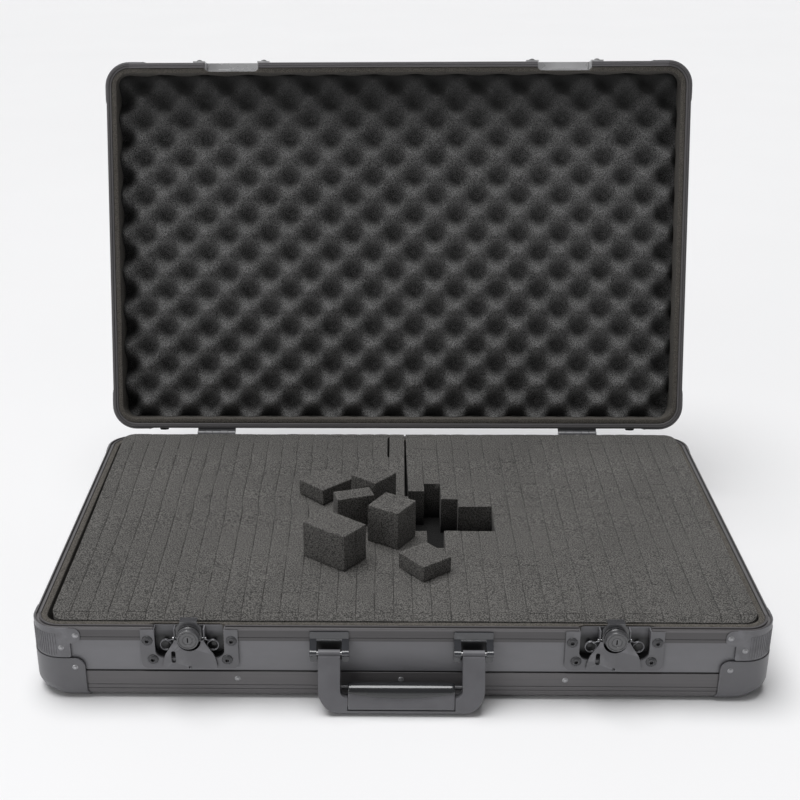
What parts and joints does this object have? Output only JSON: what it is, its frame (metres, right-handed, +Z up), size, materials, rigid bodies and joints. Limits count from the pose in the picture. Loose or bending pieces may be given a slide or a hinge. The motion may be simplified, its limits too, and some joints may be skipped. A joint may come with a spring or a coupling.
{
  "type": "foam-lined carry case",
  "caption": "Shallow hinged carry case shown open, with pluck foam in the base, egg-crate foam in the lid, ball corners, snap latches and a swinging handle.",
  "frame": {"origin": "centre of the open case's footprint box, on the floor under the corner caps", "axes": "+X along the front towards the right latch, +Y from the handle side to the hinge side, +Z up"},
  "size_m": [0.7562, 0.6982, 0.5459],
  "materials": {
    "laminate_panel": "satin",
    "extrusion": "satin",
    "corner_metal": "satin",
    "latch_metal": "satin",
    "knob_metal": "satin",
    "hinge_metal": "satin",
    "rivet_metal": "satin",
    "bright_steel": "polished",
    "handle_plastic": "matte",
    "grip_gloss": "gloss",
    "rubber_foot": "matte",
    "lining_foam": "matte",
    "pluck_foam": "matte",
    "egg_crate_foam": "matte"
  },
  "bodies": {
    "base": {"base_floor_panel": "laminate_panel", "base_front_panel": "laminate_panel", "base_rear_panel": "laminate_panel", "base_side_panels": "laminate_panel", "base_corner_posts": "laminate_panel", "base_long_edge_profiles": "extrusion", "base_short_edge_profiles": "extrusion", "base_rim_front": "extrusion", "base_rim_rear": "extrusion", "base_rim_sides": "extrusion", "base_rim_corners": "extrusion", "base_corner_caps": "corner_metal", "base_rim_brackets": "corner_metal", "base_rivets": "rivet_metal", "base_rear_feet": "rubber_foot", "base_lining": "lining_foam", "foam_base_pad": "pluck_foam", "pluck_foam": "pluck_foam", "loose_foam_blocks": "pluck_foam", "handle_brackets": "latch_metal", "handle_pins": "bright_steel", "latch_dishes": "latch_metal", "latch_saddles": "latch_metal", "latch_springs": "bright_steel", "latch_cross_shafts": "bright_steel", "latch_rivets": "rivet_metal", "hinge_base_leaves": "hinge_metal", "hinge_pins": "bright_steel"},
    "handle": {"handle_frame": "handle_plastic", "handle_grip_upper": "grip_gloss", "handle_grip_lower": "handle_plastic", "handle_grip_pins": "bright_steel"},
    "lid": {"lid_top_panel": "laminate_panel", "lid_front_panel": "laminate_panel", "lid_rear_panel": "laminate_panel", "lid_side_panels": "laminate_panel", "lid_corner_posts": "laminate_panel", "lid_long_edge_profiles": "extrusion", "lid_short_edge_profiles": "extrusion", "lid_rim_front": "extrusion", "lid_rim_rear": "extrusion", "lid_rim_sides": "extrusion", "lid_rim_corners": "extrusion", "lid_corner_caps": "corner_metal", "lid_rim_brackets": "corner_metal", "lid_rivets": "rivet_metal", "lid_rear_feet": "rubber_foot", "lid_lining": "lining_foam", "lid_egg_crate_foam": "egg_crate_foam", "keeper_dishes": "latch_metal", "keeper_rivets": "rivet_metal", "hinge_lid_leaves": "hinge_metal"},
    "latch_left": {"latch_hook_left": "latch_metal", "latch_knob_left": "knob_metal"},
    "lock_core_left": {"latch_lock_core_left": "knob_metal"},
    "latch_right": {"latch_hook_right": "latch_metal", "latch_knob_right": "knob_metal"},
    "lock_core_right": {"latch_lock_core_right": "knob_metal"}
  },
  "joints": [
    {"name": "lid_hinge", "type": "hinge", "parent": "base", "child": "lid", "pos_m": [0, 0.16143, 0.0842], "axis": [-1, 0, 0], "range_deg": [-106.5, 0], "deforming": ["loose_foam_blocks"]},
    {"name": "handle_swing", "type": "hinge", "parent": "base", "child": "handle", "pos_m": [0, -0.32657, 0.0604], "axis": [-1, 0, 0], "range_deg": [-10, 88]},
    {"name": "latch_left_hinge", "type": "hinge", "parent": "base", "child": "latch_left", "pos_m": [-0.2135, -0.31607, 0.07], "axis": [1, 0, 0], "range_deg": [-6, 18], "stiffness_Nm_per_rad": 0.05},
    {"name": "lock_core_left_turn", "type": "hinge", "parent": "latch_left", "child": "lock_core_left", "pos_m": [-0.2135, -0.32407, 0.076], "axis": [0, 1, 0], "range_deg": [0, 90]},
    {"name": "latch_right_hinge", "type": "hinge", "parent": "base", "child": "latch_right", "pos_m": [0.2135, -0.31607, 0.07], "axis": [1, 0, 0], "range_deg": [-6, 18], "stiffness_Nm_per_rad": 0.05},
    {"name": "lock_core_right_turn", "type": "hinge", "parent": "latch_right", "child": "lock_core_right", "pos_m": [0.2135, -0.32407, 0.076], "axis": [0, 1, 0], "range_deg": [0, 90]}
  ]
}
